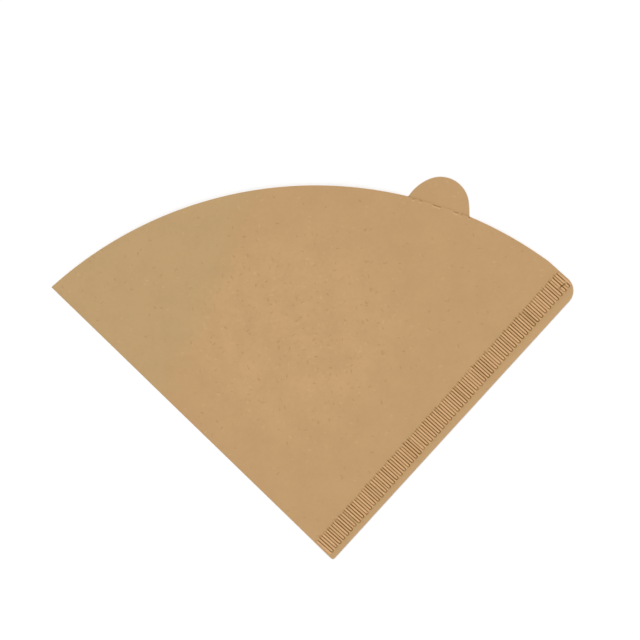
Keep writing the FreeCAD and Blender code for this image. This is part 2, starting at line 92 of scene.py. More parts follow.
# Ends of the small crease pressed across the last ribs, in plan, and how wide it is.
NICK = np.array([[79.1, 89.15], [80.7, 90.25]])
NICK_WIDTH = 0.22
# Nearest that a point inside a ply may come to its outline, in millimetres.
EDGE_GAP = 0.09
# Points measured at a time, to save memory.
BLOCK = 2000

# The floor's size and its drop below the filter, and how near and far the camera sees, in metres.
# Its lens and sensor are in millimetres.
FLOOR_SIZE, FLOOR_DROP = 6.0, 0.00004
NEAREST, FARTHEST = 0.01, 20.0
LENS, SENSOR = 200.0, 36.0


def length(name, text, millimetres):
    """A length property, written in millimetres and kept in metres."""
    return FloatProperty(
        name=name, description=text, default=millimetres * MM, unit="LENGTH", precision=5
    )


def angle(name, text, degrees):
    """An angle property, written in degrees and kept in radians."""
    return FloatProperty(
        name=name, description=text, default=math.radians(degrees), subtype="ANGLE", unit="ROTATION"
    )


def colour(name, text, red, green, blue):
    """A colour property, written as the tone seen on a screen from 0 to 255."""
    tone = tuple(linear(part / 255) for part in (red, green, blue))
    return FloatVectorProperty(
        name=name, description=text, default=tone, size=3, min=0, max=1, subtype="COLOR"
    )


def linear(tone):
    """Turns a screen tone from 0 to 1 into a linear one."""
    return tone / 12.92 if tone <= 0.04045 else ((tone + 0.055) / 1.055) ** 2.4


def share(name, text, default, low=0.0, high=1.0):
    """A plain number between two limits."""
    return FloatProperty(name=name, description=text, default=default, min=low, max=high)


class SheetSizes(bpy.types.PropertyGroup):
    """Sizes of the folded sheet and its tab."""

    paper: length("Paper", "Thickness of the paper", 0.15)
    ply_gap: length("Ply gap", "Space between the plies where they are pressed together", 0.06)
    tip_angle: angle("Tip angle", "Angle between the folded edge and the seam edge", 88.29)
    fold_length: length("Fold", "Tip to mouth along the folded edge", 131.5)
    seam_length: length("Seam", "Tip to mouth along the seam edge", 123.6)
    mouth_radius: length("Mouth radius", "Radius of the round mouth edge", 132.4)
    corner_radius: length("Corner radius", "Rounded corner where the seam meets the mouth", 5.36)
    corner_angle: angle("Corner angle", "Angle there between the seam and the mouth edge", 89.5)
    shoulder_drop: length("Shoulder drop", "How far the mouth edge drops to that corner", 0.67)
    tip_radius: length("Tip radius", "Rounding of the tip", 0.8)
    swell: length("Swell", "How far the front ply stands off at the middle of the mouth", 0.9)
    pocket_nose: length("Pocket nose", "Height above the crimp where the plies part", 1.2)
    wave: length("Wave", "Depth of the sheet's faint waviness", 0.07)
    tab_bearing: angle("Tab bearing", "Direction of the tab, right of the middle", 20.13)
    tab_radius: length("Tab radius", "Rounded top of the pull tab", 9.5)
    tab_rise: length("Tab rise", "Height of that rounding's centre over the mouth edge", 0.17)
    tab_flare: length("Tab flare", "How much wider the tab is at its foot, each side", 1.27)
    tab_skew: length("Tab skew", "How far the rounding is set to the right of the foot", 0.38)
    tab_left_bow: length("Tab left bow", "Radius of the tab's bowed left side", 15.0)
    tab_right_bow: length("Tab right bow", "Radius of its straighter right side", 35.0)
    tab_foot_radius: length("Tab foot radius", "Hollow corner beside the tab", 0.7)
    front_setback: length("Front setback", "How far the front ply is cut back at the tab", 0.17)


class CrimpSizes(bpy.types.PropertyGroup):
    """Sizes of the crimped band that closes the seam."""

    margin: length("Margin", "Plain margin outside the crimp, at the tip", 1.64)
    width: length("Width", "Length of the ribs", 6.53)
    tilt: angle("Tilt", "Angle by which the band turns in from the seam edge", 0.64)
    start: length("Start", "Middle of the first rib, from the tip", 2.13)
    pitch: length("Pitch", "Distance from rib to rib", 1.9195)
    count: IntProperty(name="Ribs", description="Number of ribs", default=63, min=1)
    crown: length("Crown", "Half the width of a rib's flat top", 0.28)
    depth: length("Depth", "Height of the ribs over the grooves", 0.45)
    # The dark lines are painted shade on the ribs' slopes.
    line: length("Line", "Half the width of the dark lines between ribs and grooves", 0.17)


class PaperLook(bpy.types.PropertyGroup):
    """Colours and texture of the paper, with its painted highlights and shade."""

    tone: colour("Tone", "Main colour of the paper", 192, 155, 110)
    cool_tone: colour("Cool tone", "Colour towards the folded side", 189, 157, 112)
    speck_tone: colour("Speck tone", "Colour of the dark bark specks", 134, 82, 40)
    # Also the colour of the painted highlight below the tears and of the pale margin.
    fibre_and_highlight_tone: colour("Fibre tone", "Colour of the light fibres", 219, 187, 141)
    mottle: share("Mottle", "Strength of the cloudy unevenness", 0.03)
    # A painted highlight on the swollen middle.
    swell_highlight_gain: share("Swell gain", "How much paler the swollen middle is", 1.045, 0.5, 2.0)
    # A painted highlight on the crimp's tops and floors.
    crown_highlight_gain: share("Crown gain", "How much paler the pressed tops are", 1.32, 0.5, 2.0)
    # The colour of the painted shade on the ribs' slopes, the crease and the tears.
    painted_shade_tone: colour("Line tone", "Colour of the lines pressed beside the ribs", 113, 73, 0)
    fleck: share("Fleck", "Strength of the dark and pale flecks", 0.24)


class StageLook(bpy.types.PropertyGroup):
    """Light and camera."""

    sky: share("Sky", "Strength of the even light from all round", 0.62, 0.0, 2.0)
    key: share("Key", "Strength of the lamp", 1.38, 0.0, 10.0)
    key_bearing: angle("Key bearing", "Direction the lamp's light comes from", 134.0)
    key_height: angle("Key height", "Height of the lamp over the floor", 60.0)
    key_spread: angle("Key spread", "Apparent size of the lamp", 20.0)
    view_width: length("View width", "Width of the floor that the picture shows", 214.8)
    view_turn: angle("View turn", "How far the picture is turned", -1.745)
    view_x: length("View middle X", "Middle of the picture across the filter", 2.269)
    view_y: length("View middle Y", "Middle of the picture up the filter", 16.73)


def millimetres(group):
    """Reads a property group into a plain dictionary, with its lengths in millimetres."""
    values = {}
    for name, item in group.bl_rna.properties.items():
        if name in ("rna_type", "name"):
            continue
        value = getattr(group, name)
        values[name] = value / MM if getattr(item, "unit", "") == "LENGTH" else value
    return values


def unit(direction):
    """Unit vector for a direction in radians."""
    return np.array([math.cos(direction), math.sin(direction)])


def units(directions):
    """Unit vectors for a row of directions in radians."""
    return np.stack([np.cos(directions), np.sin(directions)], axis=1)


def heading(vector):
    """Direction of a vector, in radians."""
    return math.atan2(vector[1], vector[0])


def left_of(vector):
    """The vector turned a quarter to the left."""
    return np.array([-vector[1], vector[0]])


def ramp(start, end, values):
    """Rises smoothly from 0 to 1 between two limits."""
    t = np.clip((values - start) / (end - start), 0, 1)
    return t * t * (3 - 2 * t)


def fall(start, end, values):
    """Falls smoothly from 1 to 0 between two limits."""
    return 1 - ramp(start, end, values)


def between(start, end, outer, inner, values):
    """1 between two limits and 0 beyond, changing softly outside and inside each one."""
    return ramp(start - outer, start + inner, values) * fall(end - inner, end + outer, values)


def bell(width, values):
    """1 where a value is nothing, and falling off to each side over a width."""
    return np.exp(-(values / width) ** 2)


def arc(centre, radius, first, last, step):
    """Points along an arc, without its last one."""
    count = max(2, math.ceil(abs(last - first) * radius / step))
    turns = first + (last - first) * np.arange(count) / count
    return centre + radius * units(turns)


def line(start, end, step):
    """Points along a straight line, without its last one."""
    count = max(1, math.ceil(np.linalg.norm(end - start) / step))
    return start + (end - start) * (np.arange(count) / count)[:, None]


def far_hit(start, way, centre, radius):
    """Distance along a line to the far side of a circle."""
    reach = centre - start
    along = reach @ way
    return along + math.sqrt(radius ** 2 - reach @ reach + along ** 2)


class Plan:
    """The filter's outline in plan."""

    # Distances between points along close curves and along plain edges.
    fine, plain = 0.15, 1.5
    # The same along the seam, and along the tab's foot, its sides and its rounded top.
    seam_step, foot_step, side_step, dome_step = 0.6, 0.1, 0.5, 0.4

    def __init__(self, sheet, crimp):
        self.sheet, self.crimp = sheet, crimp
        half = sheet["tip_angle"] / 2
        self.half = half
        self.fold_way, self.seam_way = unit(QUARTER + half), unit(QUARTER - half)
        self.fold_in, self.seam_in = unit(half), unit(math.pi - half)
        self.stack = 2 * sheet["paper"] + sheet["ply_gap"]
        self.inset = self.stack / 2
        radius = sheet["mouth_radius"]
        ends = self.fold_way * sheet["fold_length"], self.seam_way * sheet["seam_length"]
        middle, chord = (ends[0] + ends[1]) / 2, ends[1] - ends[0]
        up = left_of(chord) / np.linalg.norm(chord)
        self.mouth = middle - up * math.sqrt(radius ** 2 - chord @ chord / 4)
        self.radius = radius
        # The mouth edge runs straight for its last stretch, the shoulder, before the corner.
        turn_in = sheet["corner_radius"] / math.tan(sheet["corner_angle"] / 2)
        foot = self.seam_way * (sheet["seam_length"] - sheet["shoulder_drop"])
        self.shoulder_heading = heading(self.seam_way) + math.pi - sheet["corner_angle"]
        way = unit(self.shoulder_heading)
        self.corner_start = foot - self.seam_way * turn_in
        self.corner = self.corner_start + self.seam_in * sheet["corner_radius"]
        self.corner_end = foot + way * turn_in
        self.shoulder_end = foot + way * far_hit(foot, way, self.mouth, radius)
        self.tip = np.array([0, sheet["tip_radius"] / math.sin(half)])
        self.tip_start = sheet["tip_radius"] / math.tan(half)
        # The tab's direction, and its round top's centre as tab_side draws it.
        self.tab_way = QUARTER - sheet["tab_bearing"]
        self.knob = np.array([0, radius + sheet["tab_rise"]])
        # The heights where the plies part, and of the mouth edge's top.
        band_foot = crimp["margin"] + crimp["width"]
        lean = math.sin(2 * half) - math.tan(crimp["tilt"]) * math.cos(2 * half)
        self.nose = band_foot / lean * math.cos(half) + sheet["pocket_nose"]
        self.top = self.mouth[1] + radius

    def fold_span(self, inset):
        """Where the folded edge starts and ends along the fold, at a depth in from it."""
        tip_radius = self.sheet["tip_radius"]
        start = self.tip_start - math.sqrt(tip_radius ** 2 - (tip_radius - inset) ** 2)
        end = far_hit(self.fold_in * inset, self.fold_way, self.mouth, self.radius)
        return start, end

    def fold_point(self, inset, share_up):
        """Point of the fold at a depth in from the folded edge and a share of its length."""
        start, end = self.fold_span(inset)
        return self.fold_in * inset + self.fold_way * (start + (end - start) * share_up)

    def fold_shares(self):
        """Shares of the fold's length at which its rows lie: close at the crimp, wider above."""
        start, end = self.fold_span(self.inset)
        near = self.crimp["margin"] + self.crimp["width"] + 1
        rows = list(np.arange(start, near, 2 * self.fine)) + list(np.arange(near, end, self.plain))
        rows = np.array(rows[:-1] + [end])
        return (rows - start) / (end - start)

    def tab_axis(self, across):
        """Direction from the mouth's centre to places along the mouth, right of the tab."""
        return self.tab_way - across / self.radius

    def along_mouth(self, points):
        """Places right of the tab's middle, and how far outside the mouth edge."""
        away = points - self.mouth
        ways = np.arctan2(away[:, 1], away[:, 0])
        return (self.tab_way - ways) * self.radius, np.linalg.norm(away, axis=1) - self.radius

    def tear(self, across):
        """How far the front ply's edge is cut back, at places right of the tab's middle."""
        foot = self.sheet["tab_radius"] + self.sheet["tab_flare"]
        cut = self.sheet["front_setback"] * fall(foot + 0.2, foot + 1.2, np.abs(across))
        for start, end, bite in TEARS:
            cut += bite * between(start, end, 0.1, 0.15, across)
        return cut

    def tab_side(self, side, bow):
        """Points up one side of the tab, and where it meets the rounded top.

        The mouth's centre is the origin here and the tab points up. The left side, -1, is drawn
        mirrored, as a right one.
        """
        sheet, knob = self.sheet, self.knob
        radius, dome, foot_radius = self.radius, sheet["tab_radius"], sheet["tab_foot_radius"]
        reach = dome + sheet["tab_flare"] - side * sheet["tab_skew"]
        mark = np.array([reach, math.sqrt(radius ** 2 - reach ** 2)])
        # The side is an arc through the mark that runs into the rounded top.
        apart = np.linalg.norm(knob - mark)
        level = (knob - mark) / apart
        along = (bow ** 2 - (bow - dome) ** 2 + apart ** 2) / (2 * apart)
        drop = math.sqrt(bow ** 2 - along ** 2)
        hub = mark + level * along + left_of(level) * drop
        touch = knob + (knob - hub) * dome / np.linalg.norm(knob - hub)
        # Its foot is a hollow corner between the mouth edge and the side.
        outward = (mark - hub) / bow
        flank = left_of(outward)
        start = mark + outward * foot_radius
        hollow = start + flank * far_hit(start, flank, np.zeros(2), radius + foot_radius)
        on_mouth = hollow * radius / (radius + foot_radius)
        turns = [heading(on_mouth - hollow), heading(-outward)]
        if turns[1] - turns[0] > math.pi:
            turns[1] -= 2 * math.pi
        bend = arc(hollow, foot_radius, turns[0], turns[1], self.foot_step)
        foot_end = hollow - outward * foot_radius
        rising = arc(hub, bow, heading(foot_end - hub), heading(touch - hub), self.side_step)
        return np.concatenate([bend, rising]), touch

    def tab_outline(self):
        """Points round the tab from its right foot to its left one, in plan."""
        right, first = self.tab_side(1, self.sheet["tab_right_bow"])
        left, last = self.tab_side(-1, self.sheet["tab_left_bow"])
        left, last = left * [-1, 1], last * [-1, 1]
        first_way, last_way = heading(first - self.knob), heading(last - self.knob)
        crown = arc(self.knob, self.sheet["tab_radius"], first_way, last_way, self.dome_step)
        outline = np.concatenate([right, crown, [last], left[::-1]])
        way = unit(self.tab_way - QUARTER)
        return outline @ np.array([way, left_of(way)]) + self.mouth

    def loop(self, with_tab):
        """Outline of one ply, anticlockwise from the foot of the fold, and its fold rows."""
        foot, head = self.fold_point(self.inset, 0), self.fold_point(self.inset, 1)
        tip_radius, corner_radius = self.sheet["tip_radius"], self.sheet["corner_radius"]
        seam_out = heading(-self.seam_in)
        tip_end = self.tip - self.seam_in * tip_radius
        corner_way = self.shoulder_heading - QUARTER
        rim_way = heading(self.shoulder_end - self.mouth)
        head_way = heading(head - self.mouth)
        parts = [
            arc(self.tip, tip_radius, heading(foot - self.tip), seam_out, self.fine / 2),
            line(tip_end, self.corner_start, self.seam_step),
            arc(self.corner, corner_radius, seam_out, corner_way, self.fine),
            line(self.corner_end, self.shoulder_end, 2 * self.fine),
        ]
        if with_tab:
            tab = self.tab_outline()
            right, left = heading(tab[0] - self.mouth), heading(tab[-1] - self.mouth)
            parts += [arc(self.mouth, self.radius, rim_way, right, self.plain), tab[:-1]]
        else:
            right, left = self.tab_axis(CUT_REACH), self.tab_axis(-CUT_REACH)
            parts.append(arc(self.mouth, self.radius, rim_way, right, self.plain))
            edge = arc(self.mouth, self.radius, right, left, self.fine / 1.5)
            kept = 1 - self.tear(self.along_mouth(edge)[0]) / self.radius
            parts.append(self.mouth + (edge - self.mouth) * kept[:, None])
        parts.append(arc(self.mouth, self.radius, left, head_way, self.plain))
        shares = self.fold_shares()[::-1][:-1]
        parts.append(np.array([self.fold_point(self.inset, at) for at in shares]))
        return np.concatenate(parts), len(shares) + 1


def clearance(points, loop):
    """Distance of each point from an outline, negative outside it."""
    starts, ends = loop, np.roll(loop, -1, axis=0)
    sides = ends - starts
    squares = (sides ** 2).sum(axis=1)
    result = np.empty(len(points))
    for low in range(0, len(points), BLOCK):
        block = points[low:low + BLOCK]
        gaps = block[:, None, :] - starts[None]
        along = np.clip((gaps * sides).sum(axis=2) / squares, 0, 1)
        away = gaps - along[..., None] * sides
        near = np.sqrt((away ** 2).sum(axis=2).min(axis=1))
        over = (starts[:, 1] > block[:, 1:]) != (ends[:, 1] > block[:, 1:])
        rise = np.where(sides[:, 1] == 0, 1, sides[:, 1])
        cross = starts[:, 0] + (block[:, 1:] - starts[:, 1]) * sides[:, 0] / rise
        inside = (over & (block[:, :1] < cross)).sum(axis=1) % 2 == 1
        result[low:low + BLOCK] = np.where(inside, near, -near)
    return result


class Relief:
    """Heights of the two plies over the plan, in millimetres, and where shade and highlight are
    painted.
    """

    # Places in the noise for the back ply's waves, the front ply's and the painted shade lines'
    # unevenness.
    back_noise, front_noise, line_noise = 7.5, 1.5, 3.5
    # How far in from the folded edge the ribs reach their full height.
    fold_fade = 0.35
    # How far in from the crimp the sheet is down on the floor, and how far it is free to wave.
    landing, wave_start = 9, 12

    def __init__(self, plan, seed=4):
        self.plan = plan
        crimp = plan.crimp
        draw = np.random.default_rng(seed)
        count = crimp["count"] + 2
        ribs = np.arange(count) - 1
        self.centres = crimp["start"] + ribs * crimp["pitch"] + draw.normal(0, 0.03, count)
        # How strongly each rib and each groove is pressed, and how far its two ends are moved in.
        self.force = np.clip(draw.normal(1, 0.10, (2, count)), 0.75, 1.25)
        self.outer = draw.normal(0.12, 0.07, (2, count))
        self.inner = draw.normal(0, 0.16, (2, count))
        # Strength of the painted shade line beside each rib, on its far side and its near side.
        self.lines = np.clip(draw.normal(1, 0.16, (2, count)), 0.6, 1.3)
        # Near the mouth, the far side's painted shade line is the stronger one, as that side of the
        # ribs lies more in shade.
        late = ramp(crimp["count"] - 9, crimp["count"] - 5, ribs)
        self.lines *= [1 + 0.18 * late, 1 - 0.4 * late]
        self.middles = (self.centres[:-1] + self.centres[1:]) / 2
        self.reach = crimp["pitch"] / 4
        self.band_way = unit(QUARTER - plan.half + crimp["tilt"])
        self.band_in = left_of(self.band_way)
        self.band_foot = plan.seam_in * crimp["margin"]

    def band(self, points):
        """Places along and across the crimped band."""
        away = points - self.band_foot
        return away @ self.band_way, away @ self.band_in

    def on_crimp(self, points):
        """Which points lie on the crimp or near it, and their places along and across it."""
        along, across = self.band(points)
        close = (across > -1) & (across < self.plan.crimp["width"] + 1)
        return close, along[close], across[close]

    def off_fold(self, points):
        """0 at the folded edge, and 1 where the ribs have their full height."""
        return ramp(0, self.fold_fade, points @ self.plan.fold_in - self.plan.inset)

    def nearest(self, along, rows, centres):
        """Numbers of the nearest ribs of a row."""
        return rows[np.abs(along[:, None] - centres[rows][None]).argmin(axis=1)]

    def pressed(self, along, across, rows, centres, which):
        """How far each point lies within the nearest of a row of pressed ribs, 0 to 1."""
        crimp = self.plan.crimp
        rib = self.nearest(along, rows, centres)
        beyond = np.maximum(self.reach + self.outer[which][rib] - across, 0)
        away = np.hypot(along - centres[rib], beyond)
        t = np.clip((self.reach - away) / (self.reach - crimp["crown"]), 0, 1)
        end = crimp["width"] + self.inner[which][rib]
        rounded = 1.5 * t - 0.5 * t ** 3
        return rounded * self.force[which][rib] * fall(end - 0.5, end + 0.5, across)

    def lining(self, points):
        """How dark the painted shade lines along the ribs' sides and round their outer ends are."""
        crimp = self.plan.crimp
        close, along, across = self.on_crimp(points)
        rib = self.nearest(along, np.arange(1, crimp["count"] + 1), self.centres)
        offset = along - self.centres[rib]
        away = np.hypot(offset, np.maximum(self.reach + self.outer[0][rib] - across, 0))
        far_side = 0.5 + 0.5 * np.clip(offset / 0.15, -1, 1)
        strength = far_side * self.lines[0][rib] + (1 - far_side) * self.lines[1][rib]
        # It is weaker round the outer end, and uneven.
        strength *= 1 - 0.45 * np.clip((away - np.abs(offset)) / self.reach, 0, 1)
        uneven = np.array([
            noise.noise(Vector((x * 2.1, y * 0.5, self.line_noise))) for x, y in zip(along, across)
        ])
        end = crimp["width"] + self.inner[0][rib] * np.sign(offset)
        result = np.zeros(len(points))
        result[close] = (
            bell(crimp["line"], away - self.reach)
            * strength * (1 + 0.35 * uneven) * fall(end - 0.35, end + 0.6, across)
        )
        return result * self.off_fold(points)

    def corrugation(self, points):
        """Height of the crimp over the band's middle plane, from -1 to 1."""
        close, along, across = self.on_crimp(points)
        count = self.plan.crimp["count"]
        up = self.pressed(along, across, np.arange(1, count + 1), self.centres, 0)
        down = self.pressed(along, across, np.arange(0, count + 1), self.middles, 1)
        result = np.zeros(len(points))
        result[close] = (up - down) * self.off_fold(points[close])
        return result

    def lift(self, points):
        """How far the crimp holds the sheet up off the floor."""
        crimp = self.plan.crimp
        across = self.band(points)[1]
        inner = fall(crimp["width"], crimp["width"] + self.landing, across)
        outer = fall(-0.2, 1.4, -across)
        return crimp["depth"] / 2 * inner * outer

    def nick(self, points):
        """A small crease pressed across the last ribs: the sheet is dented there, and painted shade
        darkens it.
        """
        start, end = NICK
        side = end - start
        along = np.clip((points - start) @ side / (side @ side), 0, 1)
        return bell(NICK_WIDTH, np.linalg.norm(points - start - along[:, None] * side, axis=1))

    def wave(self, points, seed):
        """Faint waviness of the paper, from -1 to 1: broad waves and, weaker, small ones."""
        broad, small = 34, 13
        return np.array([
            noise.noise(Vector((x / broad, y / broad, seed)))
            + 0.4 * noise.noise(Vector((x / small, y / small, seed)))
            for x, y in points
        ])

    def back(self, points):
        """Height of the back ply's underside."""
        crimp, sheet = self.plan.crimp, self.plan.sheet
        ribs = crimp["depth"] / 2 * self.corrugation(points)
        across = self.band(points)[1]
        calm = ramp(crimp["width"], crimp["width"] + self.wave_start, across)
        wave = sheet["wave"] * 0.6 * calm * np.maximum(self.wave(points, self.back_noise), 0)
        # The tab curls up.
        curl = 0.25 * ramp(0, 10, self.plan.along_mouth(points)[1])
        return np.maximum(self.lift(points) + ribs + wave + curl - 0.2 * self.nick(points), 0)

    def front(self, points):
        """Height of the front ply's upper side."""
        plan, sheet, up = self.plan, self.plan.sheet, points[:, 1]
        across = self.band(points)[1]
        depth = points @ plan.fold_in - plan.inset
        # The ply bows up between the folded edge and the crimp, most at the mouth.
        left = -up * math.tan(plan.half) + plan.inset / math.cos(plan.half)
        foot = self.band_foot + self.band_in * plan.crimp["width"]
        right = foot[0] + (up - foot[1]) * self.band_way[0] / self.band_way[1]
        t = np.clip((points[:, 0] - left) / np.maximum(right - left, 0.001), 0, 1)
        peak = sheet["swell"] * np.clip((up - plan.nose) / (plan.top - plan.nose), 0, 1)
        swell = peak * 4 * t * (1 - t)
        # At the tab, where both plies were cut, it is held down.
        place, outside = plan.along_mouth(points)
        held = bell(13, place) * bell(14, outside)
        calm = ramp(0, self.wave_start, across - plan.crimp["width"]) * ramp(0, 10, depth)
        wave = sheet["wave"] * calm * self.wave(points, self.front_noise)
        swell = swell * (1 - 0.93 * held) + wave * (1 - held)
        # The edge of the cut is pressed down.
        turned = bell(0.35, outside + 0.05) * fall(11, 12.5, np.abs(place))
        swell = np.maximum(swell - 0.05 * turned, 0)
        return self.back(points) + plan.stack + swell

    def tear_shade_and_highlight(self, points):
        """Painted shadow in the tears below the tab, as 1, painted highlight on the streaks below
        them, as -1, and the pale margin.
        """
        place, outside = self.plan.along_mouth(points)
        result = -0.29 * fall(-0.55, 0.05, self.band(points)[1])
        for start, end, bite in TEARS:
            run = between(start, end, 0.15, 0.15, place)
            result += run * bite / 0.16 * bell(0.27, outside + 0.35)
            result -= 0.7 * run * bell(0.24, outside + 1.0)
        return result


def rib_points(relief):
    """Points at the crimp: columns close together on the ribs' slopes, and rows beside them."""
    crimp = relief.plan.crimp
    pitch, width = crimp["pitch"], crimp["width"]
    slope = [0.2, 0.3, 0.39, 0.48, 0.57, 0.66, 0.76]
    offsets = np.array([0] + slope + [-step for step in slope] + [pitch / 2])
    columns = (relief.centres[:, None] + offsets).ravel()
    rows = [-0.25, -0.12, 0, 0.12, 0.26, 0.44, 0.75, 1.6, 2.8, 4.0]
    rows += [width - row for row in (0.9, 0.5, 0.2, -0.1, -0.35)]
    sets = [np.stack(np.meshgrid(columns, rows), axis=-1).reshape(-1, 2)]
    beside = [(-0.5, 0.5), (-1.0, 1.0), (-1.8, 1.6)]
    for row, step in ((0.6, 0.32), (1.0, 0.8), (1.7, 1.5), (2.8, 2.2)):
        beside.append((width + row, step))
    for row, step in beside:
        places = np.arange(-2, crimp["count"] * pitch + 4, step)
        sets.append(np.stack([places, np.full(len(places), row)], axis=1))
    grid = np.concatenate(sets)
    return relief.band_foot + grid[:, :1] * relief.band_way + grid[:, 1:] * relief.band_in


def field_points(relief):
    """Points in wide, even triangles over the rest of the sheet."""
    wide = 2.4
    xs, ys = np.arange(-100, 100, wide), np.arange(0, 145, wide * math.sqrt(3) / 2)
    mesh = np.stack(np.meshgrid(xs, ys), axis=-1)
    mesh[1::2, :, 0] += wide / 2
    mesh = mesh.reshape(-1, 2)
    mesh = mesh[relief.band(mesh)[1] > relief.plan.crimp["width"] + 4]
    place, outside = relief.plan.along_mouth(mesh)
    return mesh[~((np.abs(place) < CUT_REACH) & (outside > -3.2) & (outside < 0.4))]


def cut_points(plan):
    """Rows of points inside the cut below the tab, each wider apart than the one before."""
    rows = (
        (-0.3, 0.12), (-0.42, 0.12), (-0.55, 0.15), (-0.7, 0.15), (-0.85, 0.2),
        (-1.05, 0.3), (-1.4, 0.5), (-2.0, 0.9), (-2.8, 1.5),
    )
    reach = CUT_REACH - 0.5
    return [
        plan.mouth + (plan.radius + row) * units(plan.tab_axis(np.arange(-reach, reach, step)))
        for row, step in rows
    ]


def crease_points():
    """Points on the small crease and beside it."""
    side = NICK[1] - NICK[0]
    steps, offsets = np.linspace(-0.15, 1.15, 12), np.linspace(-0.24, 0.24, 7)
    steps, offsets = (each.reshape(-1, 1) for each in np.meshgrid(steps, offsets))
    # They are moved a little, so that none falls on a rib's point.
    return NICK[0] + 0.013 + steps * side + offsets * left_of(side)


def fill(loop, points):
    """Triangles of an outline filled with points, as plan points and corner numbers."""
    kept = points[clearance(points, loop) > EDGE_GAP]
    everything = np.concatenate([loop, kept])
    ring = list(range(len(loop)))
    inside_only = 1
    spots, _, faces, sources, _, _ = geometry.delaunay_2d_cdt(
        [Vector(point) for point in everything], [], [ring], inside_only, 0.0, True
    )
    if len(spots) != len(everything):
        raise RuntimeError("the plan lost some of its points")
    order = [source[0] for source in sources]
    corners = np.array([[order[corner] for corner in face] for face in faces])
    return everything, corners[peeled(corners, len(loop))]


def sides_of(face):
    """The sides of a triangle, each with its lower corner number first."""
    a, b, c = sorted(face)
    return (a, b), (b, c), (a, c)


def peeled(corners, ring_size):
    """Picks the triangles left when those outside the outline go."""
    sides = {}
    for number, face in enumerate(corners):
        for side in sides_of(face):
            sides.setdefault(side, set()).add(number)
    ring = {tuple(sorted((at, (at + 1) % ring_size))) for at in range(ring_size)}
    kept = np.ones(len(corners), bool)
    loose = [side for side, users in sides.items() if len(users) == 1 and side not in ring]
    while loose:
        side = loose.pop()
        for number in tuple(sides[side]):
            kept[number] = False
            for other in sides_of(corners[number]):
                sides[other].discard(number)
                if len(sides[other]) == 1 and other not in ring:
                    loose.append(other)
    return kept


def build_sheet(plan, relief):
    """Vertices, faces and finish values of the two plies, and where each ply's parts start."""
    paper = plan.sheet["paper"]
    points = np.concatenate(
        [rib_points(relief), field_points(relief), crease_points()] + cut_points(plan)
    )
    vertices, faces, values, shells, count = [], [], [], {}, 0
    for ply, with_tab in (("front", False), ("back", True)):
        loop, fold_rows = plan.loop(with_tab)
        flat, corners = fill(loop, points)
        height = relief.front(flat) if ply == "front" else relief.back(flat)
        wave = relief.corrugation(flat)
        # The front ply gets painted shadow and highlight at the tears; both plies get painted shade
        # on the ribs' slopes and on the crease.
        tear_shade_and_highlight = relief.tear_shade_and_highlight(flat) if ply == "front" else np.zeros(len(flat))
        lining = np.maximum(relief.lining(flat), relief.nick(flat))
        is_front = np.full(len(flat), float(ply == "front"))
        for skin in ("outer", "inner"):
            shift = 0 if skin == "outer" else (-paper if ply == "front" else paper)
            vertices.append(np.column_stack([flat, height + shift]))
            values.append(np.column_stack([wave, tear_shade_and_highlight, lining, is_front]))
            up = (ply == "front") == (skin == "outer")
            faces.append((corners if up else corners[:, ::-1]) + count)
            shells[ply, skin] = count
            count += len(flat)
        ring = np.arange(len(loop))
        fold = np.concatenate([[0], ring[:-fold_rows:-1]])
        rim = ring[:len(loop) - fold_rows + 2]
        shells[ply] = (fold, rim)
    return vertices, faces, values, shells, count


def fold_strips(plan, relief, shells, count):
    """The rounded fold between the plies: its rows of points, outside and inside."""
    shares, middle, steps = plan.fold_shares(), plan.stack / 2, 6
    vertices, rows = [], {}
    base = relief.back(np.array([plan.fold_point(plan.inset, at) for at in shares]))
    for skin, radius in (("outer", middle), ("inner", plan.sheet["ply_gap"] / 2)):
        grid = [shells["front"][0] + shells["front", skin]]
        for step in range(1, steps):
            turn = math.pi * step / steps
            inset = plan.inset - radius * math.sin(turn)
            flat = np.array([plan.fold_point(inset, at) for at in shares])
            vertices.append(np.column_stack([flat, base + middle + radius * math.cos(turn)]))
            grid.append(np.arange(len(shares)) + count)
            count += len(shares)
        grid.append(shells["back"][0] + shells["back", skin])
        rows[skin] = grid
    return vertices, rows


def join_rows(first, second, flip):
    """Four-sided faces between two rows of corners."""
    if flip:
        first, second = second, first
    return list(zip(first[:-1], first[1:], second[1:], second[:-1]))


